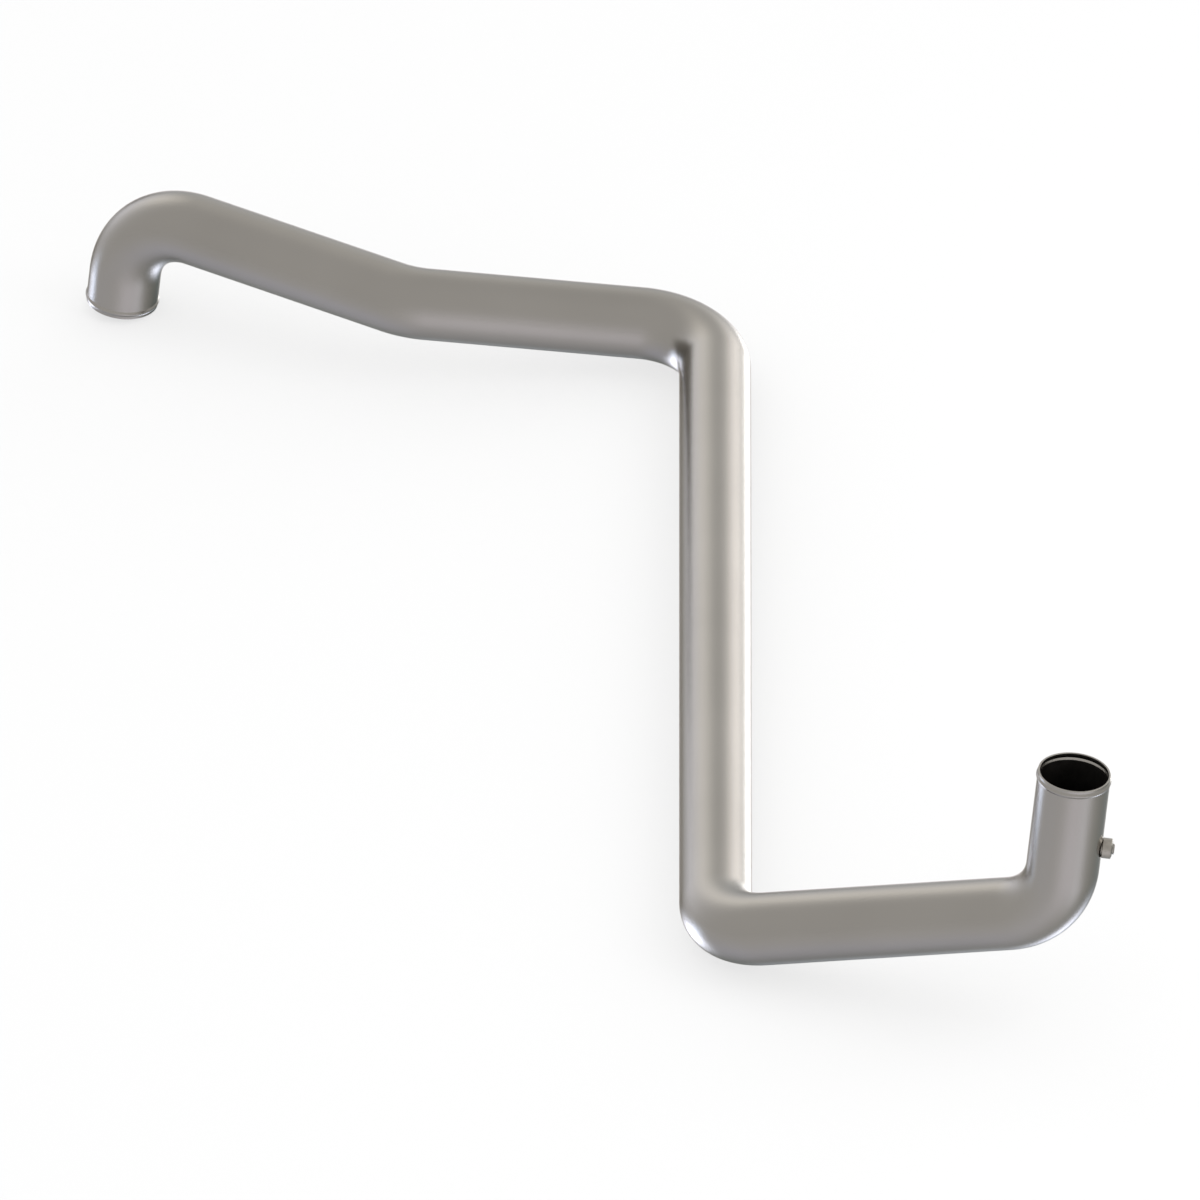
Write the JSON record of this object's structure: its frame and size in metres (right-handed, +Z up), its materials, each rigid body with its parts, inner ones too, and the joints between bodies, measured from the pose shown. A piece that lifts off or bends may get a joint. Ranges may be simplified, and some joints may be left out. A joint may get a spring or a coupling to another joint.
{
  "type": "radiator tube",
  "caption": "Bent stainless coolant tube for a vehicle radiator, with a rolled hose bead at each open end and a plugged round boss near one end.",
  "frame": {"origin": "on the floor under the middle of the whole part, as it lies at rest", "axes": "+Z up from the floor it lies on; +X along the long straight run, from the inlet's end towards the outlet's end; both open ends point close to Z, the inlet down and the outlet up"},
  "size_m": [1.3288, 0.9202, 0.2538],
  "materials": {
    "tube_steel": "satin stainless steel, mill-finished tube wiped with a fine abrasive, faint cloudy grain",
    "boss_steel": "turned stainless steel, fine satin lathe finish",
    "plug_steel": "plain machined steel plug"
  },
  "bodies": {
    "root": {"tube": "tube_steel", "boss": "boss_steel", "pipe_plug": "plug_steel"}
  },
  "joints": []
}
